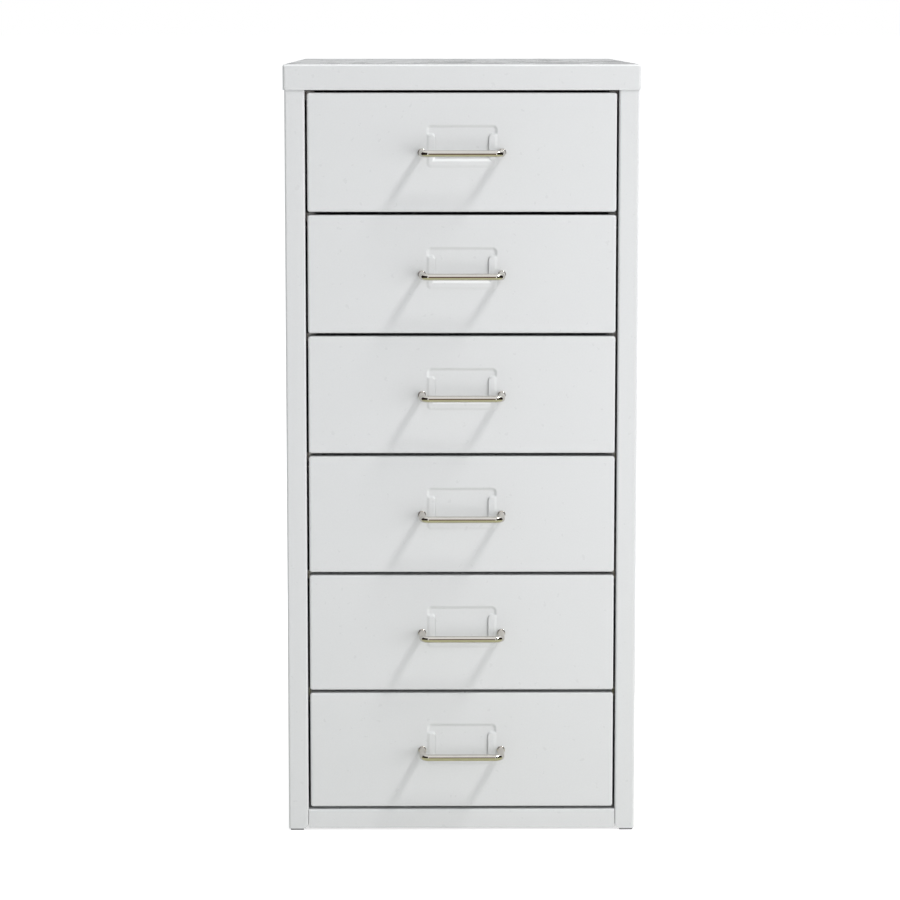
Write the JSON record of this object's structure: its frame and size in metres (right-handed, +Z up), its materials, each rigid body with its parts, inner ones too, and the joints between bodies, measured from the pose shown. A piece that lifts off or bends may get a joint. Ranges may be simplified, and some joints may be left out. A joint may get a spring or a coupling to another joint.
{
  "type": "drawer cabinet",
  "caption": "Narrow upright sheet-metal cabinet with stacked sliding drawers, each with a pressed label holder and a chrome wire handle, under a folded top cover.",
  "frame": {"origin": "middle of the cabinet's underside at floor level, halfway between the handles' front and the cover screws' heads at the back", "axes": "+X to the right as seen from the front, +Y to the back, +Z up; the drawers face -Y"},
  "size_m": [0.28, 0.4616, 0.612],
  "materials": {
    "case_paint": "smooth satin light grey powder coat",
    "cover_paint": "satin light grey powder coat with faint handling marks on top",
    "front_paint": "smooth satin light grey powder coat",
    "tray_paint": "satin light grey powder coat",
    "runner_steel": "bright zinc-plated folded sheet",
    "screw_zinc": "bright zinc plate",
    "chrome": "polished bright plate with a faint warm tint",
    "glide_plastic": "matte grey moulded plastic"
  },
  "bodies": {
    "cabinet": {"left_side_panel": "case_paint", "right_side_panel": "case_paint", "back_panel": "case_paint", "top_cover": "cover_paint", "base_pan": "case_paint", "front_rail": "case_paint", "rear_rail": "case_paint", "glide_front_left": "glide_plastic", "glide_front_right": "glide_plastic", "glide_rear_left": "glide_plastic", "glide_rear_right": "glide_plastic", "back_screws": "screw_zinc", "cover_screws": "screw_zinc", "base_screws": "screw_zinc", "runner_left_1": "runner_steel", "runner_right_1": "runner_steel", "runner_left_2": "runner_steel", "runner_right_2": "runner_steel", "runner_left_3": "runner_steel", "runner_right_3": "runner_steel", "runner_left_4": "runner_steel", "runner_right_4": "runner_steel", "runner_left_5": "runner_steel", "runner_right_5": "runner_steel", "runner_left_6": "runner_steel", "runner_right_6": "runner_steel"},
    "drawer_1": {"drawer_1_front": "front_paint", "drawer_1_tray": "tray_paint", "drawer_1_back": "tray_paint", "drawer_1_handle": "chrome", "drawer_1_handle_screws": "screw_zinc"},
    "drawer_2": {"drawer_2_front": "front_paint", "drawer_2_tray": "tray_paint", "drawer_2_back": "tray_paint", "drawer_2_handle": "chrome", "drawer_2_handle_screws": "screw_zinc"},
    "drawer_3": {"drawer_3_front": "front_paint", "drawer_3_tray": "tray_paint", "drawer_3_back": "tray_paint", "drawer_3_handle": "chrome", "drawer_3_handle_screws": "screw_zinc"},
    "drawer_4": {"drawer_4_front": "front_paint", "drawer_4_tray": "tray_paint", "drawer_4_back": "tray_paint", "drawer_4_handle": "chrome", "drawer_4_handle_screws": "screw_zinc"},
    "drawer_5": {"drawer_5_front": "front_paint", "drawer_5_tray": "tray_paint", "drawer_5_back": "tray_paint", "drawer_5_handle": "chrome", "drawer_5_handle_screws": "screw_zinc"},
    "drawer_6": {"drawer_6_front": "front_paint", "drawer_6_tray": "tray_paint", "drawer_6_back": "tray_paint", "drawer_6_handle": "chrome", "drawer_6_handle_screws": "screw_zinc"}
  },
  "joints": [
    {"name": "drawer_1_slide", "type": "slide", "parent": "cabinet", "child": "drawer_1", "axis": [0, -1, 0], "range_m": [0, 0.3413]},
    {"name": "drawer_2_slide", "type": "slide", "parent": "cabinet", "child": "drawer_2", "axis": [0, -1, 0], "range_m": [0, 0.3413]},
    {"name": "drawer_3_slide", "type": "slide", "parent": "cabinet", "child": "drawer_3", "axis": [0, -1, 0], "range_m": [0, 0.3413]},
    {"name": "drawer_4_slide", "type": "slide", "parent": "cabinet", "child": "drawer_4", "axis": [0, -1, 0], "range_m": [0, 0.3413]},
    {"name": "drawer_5_slide", "type": "slide", "parent": "cabinet", "child": "drawer_5", "axis": [0, -1, 0], "range_m": [0, 0.3413]},
    {"name": "drawer_6_slide", "type": "slide", "parent": "cabinet", "child": "drawer_6", "axis": [0, -1, 0], "range_m": [0, 0.3413]}
  ]
}
